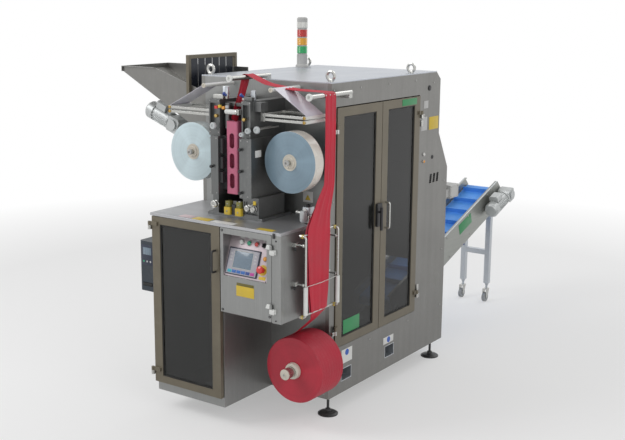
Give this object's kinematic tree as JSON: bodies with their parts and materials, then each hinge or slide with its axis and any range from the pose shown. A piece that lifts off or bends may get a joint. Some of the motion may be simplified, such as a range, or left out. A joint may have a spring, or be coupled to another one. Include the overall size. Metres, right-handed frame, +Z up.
{
  "type": "net bag packaging machine",
  "caption": "Upright machine that forms net bags: glazed steel body, front cabinet, sunk control panel, film reels, net reel, infeed chute and sloping discharge conveyor.",
  "frame": {"origin": "on the ground, under the middle of the floor plan", "axes": "+X to the machine's glazed side, +Y from the front towards the discharge conveyor, +Z up"},
  "size_m": [1.76, 3.4044, 2.276],
  "materials": {
    "brushed_panel": "brushed stainless sheet",
    "light_steel": "light brushed sheet",
    "bright_steel": "machined steel",
    "dark_steel": "dark brushed sheet",
    "conveyor_steel": "brushed stainless sheet",
    "door_steel": "olive grey satin",
    "tinted_glass": "dark tinted pane",
    "black_plastic": "matte",
    "grey_plastic": "satin",
    "white_plastic": "satin",
    "panel_plastic": "satin membrane",
    "printer_plastic": "textured moulding",
    "lens_plastic": "ribbed lens",
    "dark_strip": "flexible strip",
    "motor_grey": "painted casting",
    "film_roll": "wound film edge",
    "film_sheet": "thin film",
    "tube_pink": "net seen over a tube",
    "net_fabric": "extruded net",
    "belt_blue": "blue belt cover",
    "caster_rubber": "grey tread"
  },
  "bodies": {
    "machine": {"side_panel_right": "brushed_panel", "side_panel_left": "brushed_panel", "body_floor": "brushed_panel", "front_panel": "brushed_panel", "rear_panel": "brushed_panel", "junction_box": "grey_plastic", "roof_panel": "light_steel", "fork_channels": "light_steel", "front_cabinet": "brushed_panel", "table_top": "brushed_panel", "cabinet_fittings": "light_steel", "door_hinges": "bright_steel", "control_box": "brushed_panel", "control_hinges": "white_plastic", "levelling_feet": "black_plastic", "lifting_eyes": "bright_steel", "signal_tower": "grey_plastic", "signal_lenses": "lens_plastic", "infeed_chute": "brushed_panel", "chute_guard": "door_steel", "guard_strips": "dark_strip", "chute_drive": "motor_grey", "label_printer": "printer_plastic", "film_guide_arms": "bright_steel", "film_guide_rollers": "white_plastic", "film_webs": "film_sheet", "jaw_housings": "dark_steel", "fill_tube": "tube_pink", "jaw_knobs": "black_plastic", "sealing_actuator": "black_plastic", "closing_unit": "dark_steel", "closing_fittings": "bright_steel", "net_spindle": "bright_steel", "net_spreader": "bright_steel", "net_rollers": "white_plastic", "net_web": "net_fabric", "conveyor_frame": "conveyor_steel", "conveyor_belt": "belt_blue", "conveyor_drive": "motor_grey", "conveyor_stand": "light_steel"},
    "front_door": {"front_door_frame": "door_steel", "front_door_glass": "tinted_glass", "front_door_handle": "black_plastic"},
    "side_door_front": {"side_door_front_frame": "door_steel", "side_door_front_glass": "tinted_glass", "side_door_front_handle": "black_plastic"},
    "side_door_rear": {"side_door_rear_frame": "door_steel", "side_door_rear_glass": "tinted_glass", "side_door_rear_handle": "bright_steel"},
    "control_door": {"control_door": "brushed_panel", "control_panel": "panel_plastic"},
    "film_reel_left": {"film_reel_left": "film_roll"},
    "film_reel_right": {"film_reel_right": "film_roll"},
    "net_reel": {"net_reel": "net_fabric"},
    "caster_left": {"caster_fork_left": "bright_steel"},
    "caster_right": {"caster_fork_right": "bright_steel"},
    "wheel_left": {"caster_wheel_left": "caster_rubber"},
    "wheel_right": {"caster_wheel_right": "caster_rubber"}
  },
  "joints": [
    {"name": "front_door_hinge", "type": "hinge", "parent": "machine", "child": "front_door", "pos_m": [-0.198, -1.675, 0.68], "axis": [0, 0, -1], "range_deg": [0, 100]},
    {"name": "side_door_front_hinge", "type": "hinge", "parent": "machine", "child": "side_door_front", "pos_m": [0.748, -1.152, 1.1], "axis": [0, 0, -1], "range_deg": [0, 90]},
    {"name": "side_door_rear_hinge", "type": "hinge", "parent": "machine", "child": "side_door_rear", "pos_m": [0.748, -0.188, 1.1], "axis": [0, 0, 1], "range_deg": [0, 100]},
    {"name": "control_door_hinge", "type": "hinge", "parent": "machine", "child": "control_door", "pos_m": [0.675, -1.675, 0.93], "axis": [0, 0, 1], "range_deg": [0, 90]},
    {"name": "film_left_spin", "type": "hinge", "parent": "machine", "child": "film_reel_left", "pos_m": [-0.056, -1.406, 1.53], "axis": [0, 1, 0], "continuous": true},
    {"name": "film_right_spin", "type": "hinge", "parent": "machine", "child": "film_reel_right", "pos_m": [0.631, -1.406, 1.53], "axis": [0, 1, 0], "continuous": true},
    {"name": "net_reel_spin", "type": "hinge", "parent": "machine", "child": "net_reel", "pos_m": [0.689, -1.371, 0.369], "axis": [0, 1, 0], "continuous": true},
    {"name": "caster_left_swivel", "type": "hinge", "parent": "machine", "child": "caster_left", "pos_m": [0.218, 1.569, 0.1], "axis": [0, 0, 1], "continuous": true},
    {"name": "wheel_left_roll", "type": "hinge", "parent": "caster_left", "child": "wheel_left", "pos_m": [0.218, 1.545, 0.0375], "axis": [1, 0, 0], "continuous": true},
    {"name": "caster_right_swivel", "type": "hinge", "parent": "machine", "child": "caster_right", "pos_m": [0.428, 1.569, 0.1], "axis": [0, 0, 1], "continuous": true},
    {"name": "wheel_right_roll", "type": "hinge", "parent": "caster_right", "child": "wheel_right", "pos_m": [0.428, 1.545, 0.0375], "axis": [1, 0, 0], "continuous": true}
  ]
}
